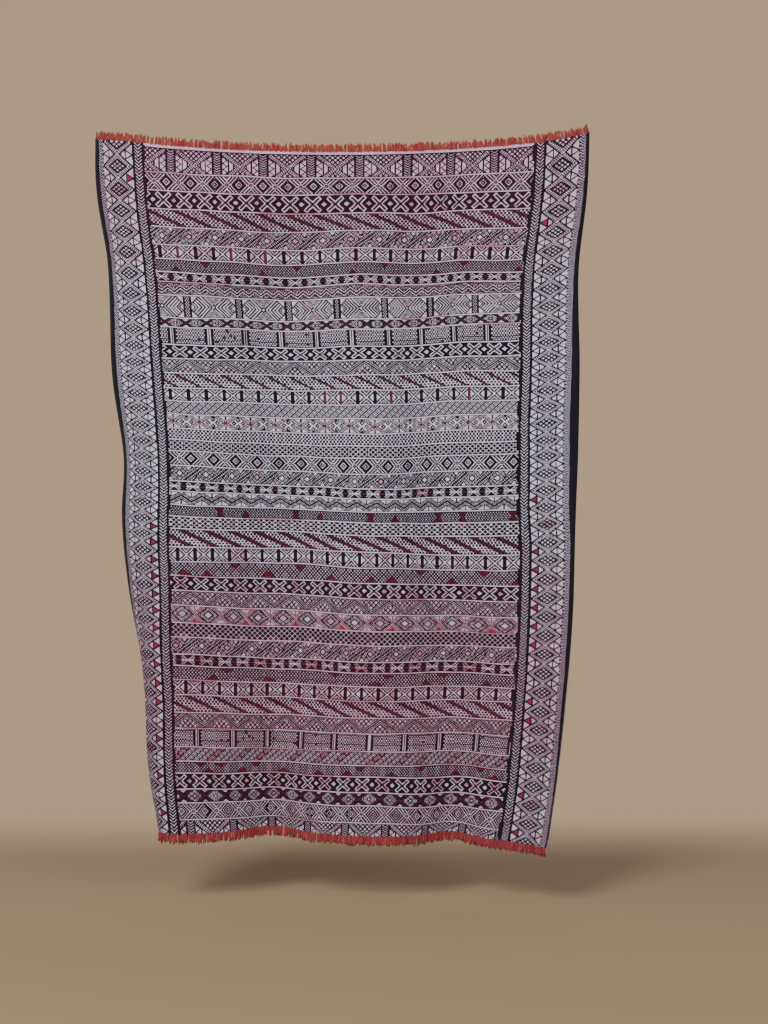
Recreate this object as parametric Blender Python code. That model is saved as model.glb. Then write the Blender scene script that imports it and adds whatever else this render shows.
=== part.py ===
"""Flat-woven kilim rug with a short warp fringe at both ends, hanging from its two top corners.

Metres, +Z up. The origin is the middle of the cloth's top edge. The patterned face looks towards -Y.
"""

import math

import bmesh
import bpy
import numpy as np

# The cloth as it lies flat
TOP_WIDTH = 1.232
HEM_WIDTH = 1.137
LENGTH = 1.677
THICKNESS = 0.003
BORDER_WIDTH = 0.133

# How it hangs
SIDE_RISE = 0.75  # share of the top edge's sag that is a plain bow; the rest lifts sharply at the corners
RIGHT_DROP = 0.011  # the hem's right end hangs this much lower than its middle, and its left end higher
ENDS_DROP = 0.008  # and both ends of the hem hang this much lower again

# The soft folds that run down the cloth: where each lies across, how wide it is, how far back it goes
# from the patterned face, how much it lifts the cloth, and which column of STATIONS it grows by
FOLDS = [
    {"top": -0.12, "hem": -0.180, "half_width": 0.150, "depth": 0.062, "lift": 0.0, "grows": "body_fold"},
    {"top": 0.19, "hem": 0.300, "half_width": 0.115, "depth": 0.062, "lift": 0.0, "grows": "body_fold"},
    {"top": -0.18, "hem": -0.183, "half_width": 0.080, "depth": 0.045, "lift": 0.005, "grows": "hem_fold"},
    {"top": 0.28, "hem": 0.308, "half_width": 0.070, "depth": 0.035, "lift": 0.004, "grows": "hem_fold"},
]

# Stations down the cloth, from 0 at the top edge to 1 at the hem
STATIONS = {
    "down": [0.00, 0.04, 0.16, 0.34, 0.48, 0.54, 0.66, 0.80, 0.92, 1.00],
    "body_fold": [0.00, 0.15, 1.00, 1.15, 1.20, 1.15, 1.12, 1.10, 1.04, 1.00],  # share of a fold's depth
    "hem_fold": [0.00, 0.00, 0.00, 0.00, 0.00, 0.00, 0.00, 0.10, 0.50, 1.00],
    "left_turn": [0.8, 0.75, 1.0, 0.7, 1.05, 0.95, 1.2, 1.95, 2.2, 2.8],  # radians the left edge turns back
    "right_turn": [0.3, 0.2, 0.1, 0.3, 0.4, 0.5, 0.6, 0.8, 0.8, 0.8],  # radians the right edge turns forward
    "sag": [0.044, 0.032, 0.030, 0.030, 0.026, 0.024, 0.017, 0.008, 0.003, 0.0],  # of a weft row's middle
    "shift": [0.0, 0.0, 0.0, 0.014, 0.019, 0.017, 0.018, 0.013, 0.003, -0.003],  # of a row's middle, along +X
}

# The mesh
LEFT_COLUMNS = 9
FIELD_COLUMNS = 26
RIGHT_COLUMNS = 5
ROWS = 42
STEPS_A_COLUMN = 6  # for following a row's curve from column to column

# The fringes
LOCKS = 140
PARTING = 0.0004  # 0.3 mm and a little for the tilt of the cloth's end
ROOT_HEIGHT = 0.004
LOCK_TAPER = 0.45
TOP_LOCK_LENGTH = 0.017
HEM_LOCK_LENGTH = 0.022
LOCK_UNEVEN = 0.004
LOCK_LEAN = 0.0022

NAVY = (0.030, 0.026, 0.050, 1.0)
ORANGE_RED = (0.55, 0.070, 0.030, 1.0)
CORAL_RED = (0.48, 0.055, 0.050, 1.0)


def clear_scene():
    for thing in list(bpy.data.objects):
        bpy.data.objects.remove(thing, do_unlink=True)


def at_station(column, down):
    """A station column's value at a place down the cloth, on a smooth curve through its rows."""
    places = np.array(STATIONS["down"])
    values = np.array(STATIONS[column])
    slopes = np.gradient(values, places)
    down = min(max(down, 0.0), 1.0)
    i = min(int(np.searchsorted(places, down, side="right")) - 1, len(places) - 2)
    gap = places[i + 1] - places[i]
    s = (down - places[i]) / gap
    start = (2 * s**3 - 3 * s**2 + 1) * values[i] + (s**3 - 2 * s**2 + s) * gap * slopes[i]
    end = (3 * s**2 - 2 * s**3) * values[i + 1] + (s**3 - s**2) * gap * slopes[i + 1]
    return float(start + end)


def width_at(down):
    return TOP_WIDTH + (HEM_WIDTH - TOP_WIDTH) * min(max(down, 0.0), 1.0)


def folds_at(across, down):
    """How far back the folds take the cloth there, the slope of that along the row, and their lift."""
    depth = np.zeros_like(across)
    slope = np.zeros_like(across)
    lift = np.zeros_like(across)
    for fold in FOLDS:
        share = at_station(fold["grows"], down)
        centre = fold["top"] + (fold["hem"] - fold["top"]) * down
        off = (across - centre) / fold["half_width"]
        bell = share * np.exp(-(off**2))
        depth += fold["depth"] * bell
        slope -= 2 * off / fold["half_width"] * fold["depth"] * bell
        lift += fold["lift"] * bell
    return depth, slope, lift


def turn(across, down):
    """The angle by which a weft row turns away from the wall's plane, in radians."""
    slope = folds_at(across, down)[1]
    half = width_at(down) / 2
    into_left = np.clip((BORDER_WIDTH - half - across) / BORDER_WIDTH, 0, 1)
    into_right = np.clip((across - half + BORDER_WIDTH) / BORDER_WIDTH, 0, 1)
    edges = at_station("left_turn", down) * into_left + at_station("right_turn", down) * into_right
    return np.arctan(slope) - edges


def weft_row(across, down):
    """Points on one weft row, keeping its woven length round every fold.

    across runs from the left edge to the right one, in metres from the cloth's middle."""
    fine = np.interp(
        np.arange((len(across) - 1) * STEPS_A_COLUMN + 1) / STEPS_A_COLUMN,
        np.arange(len(across)),
        across,
    )
    angle = turn((fine[1:] + fine[:-1]) / 2, down)
    x = np.concatenate([[0.0], np.cumsum(np.cos(angle) * np.diff(fine))])
    y = np.concatenate([[0.0], np.cumsum(np.sin(angle) * np.diff(fine))])
    x += at_station("shift", down) - np.interp(0.0, fine, x)
    y += folds_at(np.zeros(1), down)[0][0] - np.interp(0.0, fine, y)
    u = 2 * across / width_at(down)
    bow = SIDE_RISE * u**2 + (1 - SIDE_RISE) * u**6
    z = -LENGTH * down + at_station("sag", down) * bow
    z += folds_at(across, down)[2] - (RIGHT_DROP * u + ENDS_DROP * u**2) * down
    return np.stack([x[::STEPS_A_COLUMN], y[::STEPS_A_COLUMN], z], axis=1)


def column_places(down):
    """Where the mesh's columns lie across a row, closer together where the left edge turns back."""
    half = width_at(down) / 2
    left = np.linspace(-half, BORDER_WIDTH - half, LEFT_COLUMNS + 1)
    field = np.linspace(BORDER_WIDTH - half, half - BORDER_WIDTH, FIELD_COLUMNS + 1)
    right = np.linspace(half - BORDER_WIDTH, half, RIGHT_COLUMNS + 1)
    return np.concatenate([left, field[1:], right[1:]])


def material(name, colour, roughness):
    made = bpy.data.materials.new(name)
    made.use_nodes = True
    shader = made.node_tree.nodes["Principled BSDF"]
    shader.inputs["Base Color"].default_value = colour
    shader.inputs["Roughness"].default_value = roughness
    shader.inputs["Metallic"].default_value = 0.0
    made.diffuse_color = colour
    return made


def new_object(name, shape, finish):
    mesh = bpy.data.meshes.new(name)
    bmesh.ops.recalc_face_normals(shape, faces=shape.faces)
    shape.to_mesh(mesh)
    shape.free()
    mesh.shade_smooth()
    mesh.set_sharp_from_angle(angle=math.radians(40))
    made = bpy.data.objects.new(name, mesh)
    made.data.materials.append(finish)
    bpy.context.scene.collection.objects.link(made)
    return made


def rug_cloth():
    """The woven cloth, one sheet from selvedge to selvedge, with its borders in the weave."""
    shape = bmesh.new()
    grid = []
    for row in range(ROWS + 1):
        down = row / ROWS
        points = weft_row(column_places(down), down)
        grid.append([shape.verts.new(point) for point in points])
    for upper, lower in zip(grid[:-1], grid[1:]):
        for i in range(len(upper) - 1):
            shape.faces.new((upper[i], lower[i], lower[i + 1], upper[i + 1]))
    cloth = new_object("rug_cloth", shape, material("woven wool", NAVY, 0.9))
    thicken = cloth.modifiers.new("cloth thickness", "SOLIDIFY")
    thicken.thickness = THICKNESS
    thicken.offset = 0.0
    thicken.use_even_offset = True
    return cloth


def fringe(name, down, outward, lock_length, colour, seed):
    """Warp ends left long past the weave: a narrow strip of fused roots with a row of short locks.

    outward is +1 for the fringe that stands up at the top edge, -1 for the one below the hem."""
    draw = np.random.default_rng(seed)
    columns = column_places(down)
    cloth_end = weft_row(columns, down)
    places = np.linspace(columns[0], columns[-1], LOCKS + 1)
    edge = np.stack([np.interp(places, columns, cloth_end[:, k]) for k in range(3)], axis=1)
    along = np.gradient(edge, axis=0)
    along /= np.linalg.norm(along, axis=1)[:, None]
    out = np.array([0.0, 0.0, float(outward)])
    facing = np.cross(along, out)
    facing /= np.linalg.norm(facing, axis=1)[:, None]
    rise = np.cross(facing, along)
    rise *= np.sign(rise @ out)[:, None]
    shape = bmesh.new()
    rings = []
    for i in range(LOCKS + 1):
        low = edge[i] + rise[i] * PARTING
        high = low + rise[i] * ROOT_HEIGHT
        side = facing[i] * THICKNESS / 2
        rings.append([shape.verts.new(p) for p in (low - side, low + side, high + side, high - side)])
    tips = []
    for one, two in zip(rings[:-1], rings[1:]):
        for k in range(4):
            face = shape.faces.new((one[k], one[(k + 1) % 4], two[(k + 1) % 4], two[k]))
            if k == 2:
                tips.append(face)
    shape.faces.new(rings[0])
    shape.faces.new(rings[-1][::-1])
    bmesh.ops.recalc_face_normals(shape, faces=shape.faces)
    locks = bmesh.ops.extrude_discrete_faces(shape, faces=tips)["faces"]
    for i, tip in enumerate(locks):
        length = lock_length + LOCK_UNEVEN * draw.uniform(-1, 1)
        lean = along[i] * LOCK_LEAN * draw.uniform(-1, 1) + facing[i] * LOCK_LEAN * draw.uniform(-1, 1)
        centre = tip.calc_center_median()
        for vert in tip.verts:
            vert.co = centre + (vert.co - centre) * LOCK_TAPER
            vert.co.x += rise[i][0] * length + lean[0]
            vert.co.y += rise[i][1] * length + lean[1]
            vert.co.z += rise[i][2] * length + lean[2]
    return new_object(name, shape, material(name + " wool", colour, 0.95))


clear_scene()
rug_cloth()
fringe("fringe_top", 0.0, +1, TOP_LOCK_LENGTH, ORANGE_RED, seed=11)
fringe("fringe_bottom", 1.0, -1, HEM_LOCK_LENGTH, CORAL_RED, seed=12)
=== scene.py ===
"""The looks of a flat-woven kilim rug that hangs from its two top corners.

Metres, +Z up. The origin is the middle of the cloth's top edge, and the patterned face looks towards -Y.
"""

import math

import bpy
import numpy as np
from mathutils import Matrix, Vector


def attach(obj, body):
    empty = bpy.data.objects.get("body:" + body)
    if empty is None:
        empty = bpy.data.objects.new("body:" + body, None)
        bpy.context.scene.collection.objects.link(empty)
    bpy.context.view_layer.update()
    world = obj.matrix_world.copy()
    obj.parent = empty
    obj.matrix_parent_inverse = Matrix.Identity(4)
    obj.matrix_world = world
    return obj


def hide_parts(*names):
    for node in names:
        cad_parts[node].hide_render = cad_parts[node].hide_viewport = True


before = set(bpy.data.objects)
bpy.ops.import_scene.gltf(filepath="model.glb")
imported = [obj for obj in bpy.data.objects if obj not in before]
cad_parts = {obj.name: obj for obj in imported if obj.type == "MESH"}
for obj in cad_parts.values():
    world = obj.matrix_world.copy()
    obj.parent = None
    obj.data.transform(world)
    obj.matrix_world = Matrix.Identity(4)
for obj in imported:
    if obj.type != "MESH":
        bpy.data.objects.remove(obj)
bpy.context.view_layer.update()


# The cloth is one flat-woven sheet of wool. Its pattern is brocaded in with a pale weft that floats over
# the dark ground, in bands across the field and in a column of lozenges down each side. It is held only
# at its two top corners, so it sags between them and falls in soft folds, with its side edges turned.
TOP_WIDTH = 1.232
HEM_WIDTH = 1.137
LENGTH = 1.677
THICKNESS = 0.003
BORDER_WIDTH = 0.133
SIDE_RISE = 0.75  # share of the top edge's sag that is a plain bow; the rest lifts at the corners
RIGHT_DROP = 0.011  # the hem's right end hangs this much lower than its middle, its left end higher
ENDS_DROP = 0.008  # and both ends of the hem hang this much lower again

# The soft folds, as in the solid: where each lies at the top and at the hem, half its width, how far back
# it goes, how much it lifts the cloth, and which column of STATIONS it grows by
FOLDS = [
    {"top": -0.12, "hem": -0.180, "half_width": 0.150, "depth": 0.062, "lift": 0.0, "grows": "body_fold"},
    {"top": 0.19, "hem": 0.300, "half_width": 0.115, "depth": 0.062, "lift": 0.0, "grows": "body_fold"},
    {"top": -0.18, "hem": -0.183, "half_width": 0.080, "depth": 0.045, "lift": 0.005, "grows": "hem_fold"},
    {"top": 0.28, "hem": 0.308, "half_width": 0.070, "depth": 0.035, "lift": 0.004, "grows": "hem_fold"},
]

# Stations down the cloth, from 0 at the top edge to 1 at the hem: each kind of fold's share of its depth,
# the turn of the side edges in radians, and a weft row's sag and its shift to the right in metres
STATIONS = {
    "down": [0.00, 0.04, 0.16, 0.34, 0.48, 0.54, 0.66, 0.80, 0.92, 1.00],
    "body_fold": [0.00, 0.15, 1.00, 1.15, 1.20, 1.15, 1.12, 1.10, 1.04, 1.00],
    "hem_fold": [0.00, 0.00, 0.00, 0.00, 0.00, 0.00, 0.00, 0.10, 0.50, 1.00],
    "left_turn": [0.8, 0.75, 1.0, 0.7, 1.05, 0.95, 1.2, 1.95, 2.2, 2.8],
    "right_turn": [0.3, 0.2, 0.1, 0.3, 0.4, 0.5, 0.6, 0.8, 0.8, 0.8],
    "sag": [0.044, 0.032, 0.030, 0.030, 0.026, 0.024, 0.017, 0.008, 0.003, 0.0],
    "shift": [0.0, 0.0, 0.0, 0.014, 0.019, 0.017, 0.018, 0.013, 0.003, -0.003],
}

# The weave: the cloth is charted in stitches across and rows down, each near 2.8 mm, with two cells of
# the chart to each. A face of the mesh is 8 cells wide and 3 lines of cells high, and the curve of a row
# is followed in 3 steps from one column of the mesh to the next.
FIELD_STITCHES = 344
BORDER_STITCHES = 48
CHART_STITCHES = FIELD_STITCHES + 2 * BORDER_STITCHES
CHART_ROWS = 612
CELLS = 2
CELLS_A_FACE = 8
LINES_A_FACE = 3
STEPS_A_COLUMN = 3


def at_station(column, down):
    """A station column's value at a place down the cloth, on a smooth curve through its rows."""
    places = np.array(STATIONS["down"])
    values = np.array(STATIONS[column])
    slopes = np.gradient(values, places)
    down = min(max(down, 0.0), 1.0)
    i = min(int(np.searchsorted(places, down, side="right")) - 1, len(places) - 2)
    gap = places[i + 1] - places[i]
    s = (down - places[i]) / gap
    start = (2 * s**3 - 3 * s**2 + 1) * values[i] + (s**3 - 2 * s**2 + s) * gap * slopes[i]
    end = (3 * s**2 - 2 * s**3) * values[i + 1] + (s**3 - s**2) * gap * slopes[i + 1]
    return float(start + end)


def width_at(down):
    """The flat cloth's width at a place down it, from 0 at the top edge to 1 at the hem."""
    return TOP_WIDTH + (HEM_WIDTH - TOP_WIDTH) * min(max(down, 0.0), 1.0)


def folds_at(across, down):
    """How far back the folds take the cloth there, the slope of that along the row, and their lift."""
    depth = np.zeros_like(across)
    slope = np.zeros_like(across)
    lift = np.zeros_like(across)
    for fold in FOLDS:
        share = at_station(fold["grows"], down)
        centre = fold["top"] + (fold["hem"] - fold["top"]) * down
        off = (across - centre) / fold["half_width"]
        bell = share * np.exp(-(off**2))
        depth += fold["depth"] * bell
        slope -= 2 * off / fold["half_width"] * fold["depth"] * bell
        lift += fold["lift"] * bell
    return depth, slope, lift


def turn(across, down):
    """The angle by which a weft row turns away from the wall's plane, in radians."""
    slope = folds_at(across, down)[1]
    half = width_at(down) / 2
    into_left = np.clip((BORDER_WIDTH - half - across) / BORDER_WIDTH, 0, 1)
    into_right = np.clip((across - half + BORDER_WIDTH) / BORDER_WIDTH, 0, 1)
    edges = at_station("left_turn", down) * into_left + at_station("right_turn", down) * into_right
    return np.arctan(slope) - edges


def weft_row(across, down):
    """Points on one weft row, keeping its woven length round every fold."""
    fine = np.interp(
        np.arange((len(across) - 1) * STEPS_A_COLUMN + 1) / STEPS_A_COLUMN,
        np.arange(len(across)),
        across,
    )
    angle = turn((fine[1:] + fine[:-1]) / 2, down)
    x = np.concatenate([[0.0], np.cumsum(np.cos(angle) * np.diff(fine))])
    y = np.concatenate([[0.0], np.cumsum(np.sin(angle) * np.diff(fine))])
    x += at_station("shift", down) - np.interp(0.0, fine, x)
    y += folds_at(np.zeros(1), down)[0][0] - np.interp(0.0, fine, y)
    u = 2 * across / width_at(down)
    bow = SIDE_RISE * u**2 + (1 - SIDE_RISE) * u**6
    z = -LENGTH * down + at_station("sag", down) * bow
    z += folds_at(across, down)[2] - (RIGHT_DROP * u + ENDS_DROP * u**2) * down
    return np.stack([x[::STEPS_A_COLUMN], y[::STEPS_A_COLUMN], z], axis=1)


def stitch_places(down):
    """Where the edges of the mesh's columns lie across a row, every few stitches."""
    half = width_at(down) / 2
    seams = [-half, BORDER_WIDTH - half, half - BORDER_WIDTH, half]
    stitches = [0, BORDER_STITCHES, BORDER_STITCHES + FIELD_STITCHES, CHART_STITCHES]
    return np.interp(np.arange(0, CHART_STITCHES + 1, CELLS_A_FACE / CELLS), stitches, seams)


def unevenness(across, along, widest, narrowest, waves, seed):
    """A sum of soft waves over the cloth, mostly between -1 and 1, the way handwoven wool puckers."""
    draw = np.random.default_rng(seed)
    total = np.zeros_like(across)
    for _ in range(waves):
        length = narrowest * (widest / narrowest) ** draw.random()
        heading = draw.uniform(0, math.pi)
        phase = (across * math.cos(heading) + along * math.sin(heading)) / length
        total += np.sin(2 * math.pi * (phase + draw.random()))
    return total / math.sqrt(waves)


# The chart's codes: the dark ground, the pale weft, and the wine and red wefts
GROUND, PALE, WINE, RED = 0, 1, 2, 3
CODES = 4


def pick(*choices, otherwise):
    """The first choice whose condition holds, cell by cell."""
    return np.select([choice[0] for choice in choices], [choice[1] for choice in choices], otherwise)


def pale(where):
    """Pale weft there, on the ground."""
    return np.where(where, PALE, GROUND)


def from_centre(x, pitch):
    """How far each place lies from the centre of its repeat."""
    return abs(x - np.floor(x / pitch + 0.5) * pitch)


def comb(along, period, pale_share=0.62):
    """Short dark ticks laid close together, which the eye takes for grey."""
    return pale(along % period < period * pale_share)


def pinkish(x, y, colour=RED):
    """Pale weft with a coloured one laid in between."""
    return np.where((np.floor(x * 2) + np.floor(y * 2)) % 2 == 0, colour, PALE)


def dyed_in(number, dyed, x, y):
    """Pale weft, pinkish in the repeats of those numbers."""
    return np.where(np.isin(number, dyed), pinkish(x, y), PALE)


def hatched(x, y, colour=PALE):
    """Fine slanting hatching on the ground, which the eye takes for one even shade."""
    return np.where((np.floor(x * 2) + np.floor(y * 2)) % 3 < 2, colour, GROUND)


def diamonds(x, y, wide, high):
    """Where each place lies in a net of small lozenges: 0 in a lozenge's middle, 1 on its edge."""
    across, down = from_centre(x, wide) * 2 / wide, from_centre(y, high) * 2 / high
    return np.minimum(across + down, 2 - across - down)


def wedges(x, y, rows, up, down, half_wide, high):
    """Triangles that stand on the band's lower line or hang from its upper one, at these stitches."""
    inside = np.zeros(x.shape, bool)
    for place in up:
        inside |= abs(x - place) < (y - rows + high) * half_wide / high
    for place in down:
        inside |= abs(x - place) < (high - y) * half_wide / high
    return inside


# The motifs. Each gives the code of every cell of its band. x runs across in stitches, with the middle of
# a repeat at every whole pitch, and y down in rows from the band's top; a and b are the distances from the
# repeat's middle and the band's, and q or far that from the place between two repeats. The numbers are
# stitches and rows too, drawn to fit.
def panels(x, y, a, b, pitch, rows, middle=12.3):
    """Herringbone bars, and between them a hatched cross with a net above and below it."""
    half_wide = pitch / 2 - 4.6
    q, b = pitch / 2 - a, abs(y - middle)
    off = abs(q * middle - b * half_wide) / math.hypot(half_wide, middle)
    edge = half_wide - q
    teeth = abs(edge - 4.3 + 1.5 * from_centre(y - middle, 5.4)) < 0.6
    ticks = (abs(q - 5.6) < 0.45) | (abs(edge - 5.6) < 0.45)
    return pick(
        (a < 3.1, pale((y + 0.6 * a) % 2.1 < 0.8)),
        (a < 4.4, GROUND),
        (off < 1.6, comb(q + b, 2.4)),
        (off < 2.3, GROUND),
        (b * half_wide > q * middle, pale(diamonds(q, b + 0.6, 4.6, 4.2) < 0.68)),
        (teeth | ticks, GROUND),
        otherwise=PALE,
    )


def snow(x, y, a, b, pitch, rows):
    """Branching crosses with slanting bars in their arms, and a ringed lozenge between each two."""
    eye, heart = pitch / 2 - a + b, a + b
    return pick(
        (eye < 1.0, PALE),
        (eye < 2.1, GROUND),
        (eye < 3.4, PALE),
        (eye < 4.7, GROUND),
        (heart < 0.8, PALE),
        (heart < 1.8, GROUND),
        (heart < 2.9, PALE),
        ((abs(a - b) + 0.8) % 3.2 < 1.65, PALE),
        otherwise=GROUND,
    )


def crosses(x, y, a, b, pitch, rows, reds=(), gems=()):
    """Crosses outlined in pale weft on the dark ground, with a small lozenge between each two."""
    number = np.floor(x / pitch + 0.5)
    lean = 15.6 / rows
    reach = rows / 2 * (1 + lean) - 2.8
    off = abs(a - b * lean)
    gem = (pitch / 2 - a) * 0.8 + b
    gap = np.floor(x / pitch)
    outline = (off >= 1.0) & (off < 2.9) & (a + b < reach)
    tip = (off < 2.9) & (a + b >= reach - 1.7) & (a + b < reach)
    dyed = np.isin(number, reds) & ((x * 0.7 + y) % 4 < 2.9)
    return pick(
        (gem < 2.1, dyed_in(gap, gems, x, y)),
        (outline | tip, np.where(dyed, pinkish(x, y), PALE)),
        otherwise=GROUND,
    )


def dots(x, y, a, b, pitch, rows, slope, wide):
    """Dark squares laid like bricks on pale weft, crossed by slanting wine stripes that fall rightwards."""
    high = rows / round(rows / 1.95)
    course = np.floor(y / high)
    square = (y % high < 1.4) & ((x + course % 2 * 1.7) % 3.4 < 1.6)
    stripe = (x - slope * y + wide / 2) % pitch < wide
    return pick(
        (square, GROUND),
        (stripe, WINE),
        otherwise=PALE,
    )


def bars_and_gems(x, y, a, b, pitch, rows, reds=()):
    """Lozenges in a combed ring, double combed bars that rise to the right, and small pale triangles."""
    number = np.floor(x / pitch + 0.5)
    slant = from_centre(x - pitch / 2 + 1.33 * (y - rows / 2), pitch)
    ring = a * 0.85 + b
    over = np.where(y < rows / 2, x - number * pitch, number * pitch - x)
    triangle = (b - rows / 2 + 3.6) * 0.72 - abs(over - 8.2)
    return pick(
        (ring < 2.3, dyed_in(number, reds, x, y)),
        (ring < 3.3, GROUND),
        (ring < 5.8, comb(a - b, 2.2)),
        (triangle > 0, np.where(number % 3 == 1, pinkish(x, y), PALE)),
        (triangle > -0.7, GROUND),
        (slant < 1.0, GROUND),
        (slant < 3.6, comb(x - y, 2.4)),
        (slant < 4.9, GROUND),
        (ring < 6.4, GROUND),
        otherwise=comb(a - b, 2.2),
    )


def boxes(x, y, a, b, pitch, rows, reds=(), warm=()):
    """Crossed boxes with outlined triangles, parted by short dark bars."""
    number = np.floor(x / pitch + 0.5)
    half_wide, half_high = pitch / 2 - 1.3, rows / 2
    q = pitch / 2 - a
    off = abs(q * half_high - b * half_wide) / math.hypot(half_wide, half_high)
    beside = q * half_high > b * half_wide
    fill = np.where(np.isin(np.floor(x / pitch), warm) & beside, pinkish(x, y), PALE)
    return pick(
        ((a < 1.4) & (b < half_high - 0.4), np.where(np.isin(number, reds), WINE, GROUND)),
        (a < 1.3, PALE),
        (off < 0.65, PALE),
        (off < 1.6, GROUND),
        (~beside & (off > 2.7) & (off < 3.5), GROUND),
        otherwise=fill,
    )


def netting(x, y, a, b, pitch, rows, wide=2.6, high=2.8, up=(), down=(), half_wide=4.5, tall=5):
    """A fine net of pale floats with red triangles in it."""
    net = pale(diamonds(x, y, wide, high) < 0.62)
    return np.where(wedges(x, y, rows, up, down, half_wide, tall) & (net == PALE), RED, net)


def stars(x, y, a, b, pitch, rows, reds=()):
    """Many-armed stars between dark ovals that a thin float splits."""
    q = pitch / 2 - a
    hue = dyed_in(np.floor(x / pitch), reds, x, y)
    return pick(
        ((b < 0.3) & (a < 3), WINE),
        ((a / 2.3) ** 2 + (b / (rows / 2 + 1)) ** 2 < 1, GROUND),
        (abs(q - 1.35 * b) < 0.85, hue),
        ((abs(q - 1.35 * b - 3.0) < 0.75) & (q < 6.8), hue),
        (b < 0.4, hue),
        otherwise=GROUND,
    )


def zigzag(x, y, a, b, pitch, rows):
    """Two thin pale zigzags with feathered wine triangles above and below."""
    q = y - rows / 2 + 3.0 - a * 0.78
    return pick(
        ((abs(q) < 0.6) | (abs(q - 2.9) < 0.6), PALE),
        ((q > -1.4) & (q < 4.3), GROUND),
        ((a - q * 0.6) % 2.2 < 0.6, PALE),
        otherwise=hatched(x, y, WINE),
    )


def chevrons(x, y, a, b, pitch, rows):
    """Panels of nested chevrons that point at a small hatched cross, between grey chequered posts."""
    half_wide = pitch / 2 - 3.4
    q = pitch / 2 - a
    chequered = pale((np.floor(x) + np.floor(y / 1.4)) % 2 == 0)
    corner = q + b - half_wide - 3.2
    by_post = half_wide - q + b * 1.2
    return pick(
        (a < 2.2, chequered),
        (a < 3.4, GROUND),
        (q + b < 1.4, PALE),
        (q + b < 2.3, GROUND),
        (corner > 0, PALE),
        (corner > -1.0, GROUND),
        (by_post < 3.2, PALE),
        (by_post < 4.2, GROUND),
        (b - q > 6.4, pinkish(x, y, WINE)),
        (q - b < -1.2, comb(q + b, 1.6)),
        (q - b < 0, PALE),
        (q - b < 1.4, GROUND),
        otherwise=pale((q - b + 1.7) % 3.1 < 1.8),
    )


def chain(x, y, a, b, pitch, rows, reds=()):
    """A chain of ringed lozenges on wine, with small pale triangles where they meet."""
    ring = a / (pitch / 2 - 0.7) + b / (rows / 2 + 2.0)
    notch = pitch / 2 - a < (b - rows / 2 + 2.4) * 1.5
    return pick(
        (ring < 0.16, PALE),
        (ring < 0.28, GROUND),
        (ring < 0.80, comb(a - b, 1.8)),
        (ring < 0.92, GROUND),
        (notch, dyed_in(np.floor(x / pitch), reds, x, y)),
        (ring < 1.14, np.where((np.floor(x) + np.floor(y * 2)) % 3 < 2, WINE, GROUND)),
        otherwise=GROUND,
    )


def dotted_panels(x, y, a, b, pitch, rows):
    """Panels of fine dots between pale bars with dark edges."""
    high = rows / round(rows / 1.75)
    course = np.floor(y / high)
    dot = (y % high < 1.1) & ((x + course % 2 * 1.2) % 2.4 < 1.7)
    fleck = (np.sin(np.floor(x / 3.2) * 12.9 + course * 78.2) * 437.5) % 1 < 0.03
    return pick(
        (a < 0.25, GROUND),
        (a < 1.6, PALE),
        (a < 3.6, GROUND),
        (dot & fleck, WINE),
        (dot, PALE),
        otherwise=GROUND,
    )


def lattice(x, y, a, b, pitch, rows, fill=WINE):
    """A broad hatched zigzag whose triangles are filled with a net of small lozenges."""
    steep = (rows - 1) * 2 / pitch
    band = abs(y - 0.5 - a * steep) / math.hypot(1, steep)
    eye = diamonds(x, y, 4.6, 4.4)
    return pick(
        ((band < 3.0) & ((band + 0.25) % 1.5 < 0.85), GROUND),
        (band < 3.0, PALE),
        (eye < 0.26, PALE),
        (eye < 0.54, pinkish(x, y, fill)),
        (eye < 0.76, PALE),
        otherwise=GROUND,
    )


def hatching(x, y, a, b, pitch, rows, reds=()):
    """Slanting hatched bars that rise to the right."""
    place = x + y * 1.2
    tint = dyed_in(np.floor(place / pitch) % 12, reds, x, y)
    return pick(
        (place % pitch < 1.6, GROUND),
        (place % pitch < 2.9, tint),
        ((place % pitch - 2.9) % 2.2 < 0.8, GROUND),
        otherwise=tint,
    )


def four_gems(x, y, a, b, pitch, rows):
    """Outlined lozenges, each holding four small ones, with wine crossings and ticked triangles."""
    ring = a / (pitch / 2 - 1.9) + b / (rows / 2)
    small = np.minimum(abs(a - 4.2) + b, a + abs(b - 3.0))
    far = pitch / 2 - a
    crossing = abs(far - b * (pitch / rows) * 0.86)
    return pick(
        (small < 0.8, PALE),
        (small < 1.1, hatched(x, y)),
        (small < 2.2, GROUND),
        (ring < 0.90, PALE),
        (ring < 1.0, GROUND),
        ((far < 1.4) & (b < 1.2), WINE),
        (crossing < 2.4, np.where((x - y) % 1.7 < 0.7, PALE, WINE)),
        (crossing < 3.0, GROUND),
        ((far < 0.55) & (b > rows / 2 - 3.4), GROUND),
        otherwise=PALE,
    )


def gem_net(x, y, a, b, pitch, rows, wide=5.3, high=4.0, up=(), down=(), dark=0.66):
    """A pale net over dark lozenges, some of them wine."""
    eye = diamonds(x, y - rows / 2, wide, high)
    lifted = wedges(x, y, rows, up, down, 7, 4)
    return pick(
        (eye < dark, np.where(lifted, WINE, GROUND)),
        (eye < 0.74, PALE),
        (eye < 0.80, GROUND),
        otherwise=PALE,
    )


def ticked_zigzag(x, y, a, b, pitch, rows):
    """Pale zigzag lines on the ground, between triangles of pale weft that each have a tick."""
    q = (y - rows / 2 + 2.6 - a * 10.4 / pitch) * 0.87
    tick = (a < 0.3) | (a > pitch / 2 - 0.3)
    off = abs(abs(q) - 1.65)
    return pick(
        ((off >= 0.3) & (off < 0.85), PALE),
        (abs(q) < 3.3, GROUND),
        (tick, GROUND),
        otherwise=PALE,
    )


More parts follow.
